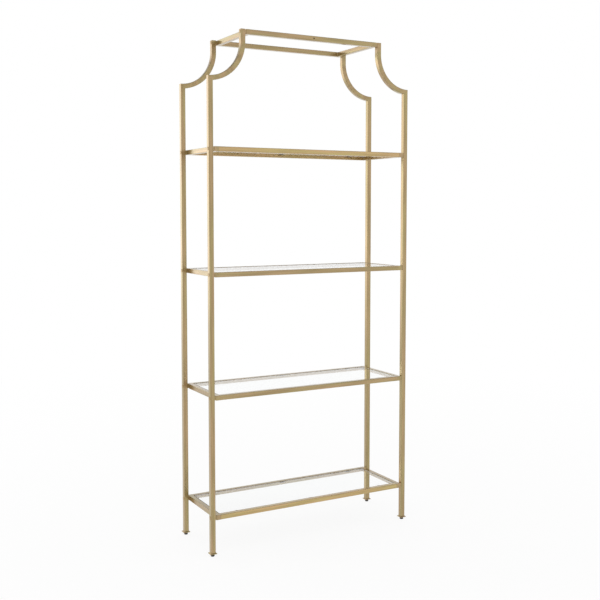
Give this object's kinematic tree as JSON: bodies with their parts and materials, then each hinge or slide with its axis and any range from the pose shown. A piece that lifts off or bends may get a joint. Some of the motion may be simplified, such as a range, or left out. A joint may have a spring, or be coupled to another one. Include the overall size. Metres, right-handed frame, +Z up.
{
  "type": "etagere",
  "caption": "Tall open etagere of satin gold square tube: uprights that curve inward to an open top frame, and loose clear glass shelves in bolted frames on levelling feet.",
  "frame": {"origin": "on the floor below the middle of the object", "axes": "+X to the object's right seen from its front, +Y to its back, +Z up"},
  "size_m": [0.923, 0.305, 2.036],
  "materials": {
    "gold_metal": "satin soft gold",
    "clear_glass": "clear tempered, polished edges",
    "clear_rubber": "translucent soft",
    "black_plastic": "matt black",
    "zinc_steel": "zinc plated",
    "gold_plastic": "satin soft gold"
  },
  "bodies": {
    "frame": {"post_front_left": "gold_metal", "arch_front_left": "gold_metal", "foot_plate_front_left": "gold_metal", "post_front_right": "gold_metal", "arch_front_right": "gold_metal", "foot_plate_front_right": "gold_metal", "post_rear_left": "gold_metal", "arch_rear_left": "gold_metal", "foot_plate_rear_left": "gold_metal", "post_rear_right": "gold_metal", "arch_rear_right": "gold_metal", "foot_plate_rear_right": "gold_metal", "shelf_1_left_rail": "gold_metal", "shelf_1_right_rail": "gold_metal", "shelf_1_front_rail": "gold_metal", "shelf_1_rear_rail": "gold_metal", "shelf_1_glass_tabs": "gold_metal", "shelf_1_glass_pads": "clear_rubber", "shelf_2_left_rail": "gold_metal", "shelf_2_right_rail": "gold_metal", "shelf_2_front_rail": "gold_metal", "shelf_2_rear_rail": "gold_metal", "shelf_2_glass_tabs": "gold_metal", "shelf_2_glass_pads": "clear_rubber", "shelf_3_left_rail": "gold_metal", "shelf_3_right_rail": "gold_metal", "shelf_3_front_rail": "gold_metal", "shelf_3_rear_rail": "gold_metal", "shelf_3_glass_tabs": "gold_metal", "shelf_3_glass_pads": "clear_rubber", "shelf_4_left_rail": "gold_metal", "shelf_4_right_rail": "gold_metal", "shelf_4_front_rail": "gold_metal", "shelf_4_rear_rail": "gold_metal", "shelf_4_glass_tabs": "gold_metal", "shelf_4_glass_pads": "clear_rubber", "top_left_rail": "gold_metal", "top_right_rail": "gold_metal", "top_front_rail": "gold_metal", "top_rear_rail": "gold_metal", "tube_end_caps": "gold_metal", "corner_spacers": "gold_metal", "corner_bolts": "zinc_steel", "rivet_nuts": "zinc_steel", "access_plugs": "gold_plastic", "leveller_nuts": "zinc_steel"},
    "glass_shelf_1": {"shelf_1_glass": "clear_glass"},
    "glass_shelf_2": {"shelf_2_glass": "clear_glass"},
    "glass_shelf_3": {"shelf_3_glass": "clear_glass"},
    "glass_shelf_4": {"shelf_4_glass": "clear_glass"},
    "leveller_front_left": {"glide_front_left": "black_plastic", "leveller_stud_front_left": "zinc_steel"},
    "leveller_front_right": {"glide_front_right": "black_plastic", "leveller_stud_front_right": "zinc_steel"},
    "leveller_rear_left": {"glide_rear_left": "black_plastic", "leveller_stud_rear_left": "zinc_steel"},
    "leveller_rear_right": {"glide_rear_right": "black_plastic", "leveller_stud_rear_right": "zinc_steel"}
  },
  "joints": [
    {"name": "glass_1_lift", "type": "slide", "parent": "frame", "child": "glass_shelf_1", "axis": [0, 0, 1], "range_m": [0, 0.06]},
    {"name": "glass_2_lift", "type": "slide", "parent": "frame", "child": "glass_shelf_2", "axis": [0, 0, 1], "range_m": [0, 0.06]},
    {"name": "glass_3_lift", "type": "slide", "parent": "frame", "child": "glass_shelf_3", "axis": [0, 0, 1], "range_m": [0, 0.06]},
    {"name": "glass_4_lift", "type": "slide", "parent": "frame", "child": "glass_shelf_4", "axis": [0, 0, 1], "range_m": [0, 0.06]},
    {"name": "leveller_front_left_screw", "type": "slide", "parent": "frame", "child": "leveller_front_left", "axis": [0, 0, -1], "range_m": [0, 0.012]},
    {"name": "leveller_front_right_screw", "type": "slide", "parent": "frame", "child": "leveller_front_right", "axis": [0, 0, -1], "range_m": [0, 0.012]},
    {"name": "leveller_rear_left_screw", "type": "slide", "parent": "frame", "child": "leveller_rear_left", "axis": [0, 0, -1], "range_m": [0, 0.012]},
    {"name": "leveller_rear_right_screw", "type": "slide", "parent": "frame", "child": "leveller_rear_right", "axis": [0, 0, -1], "range_m": [0, 0.012]}
  ]
}
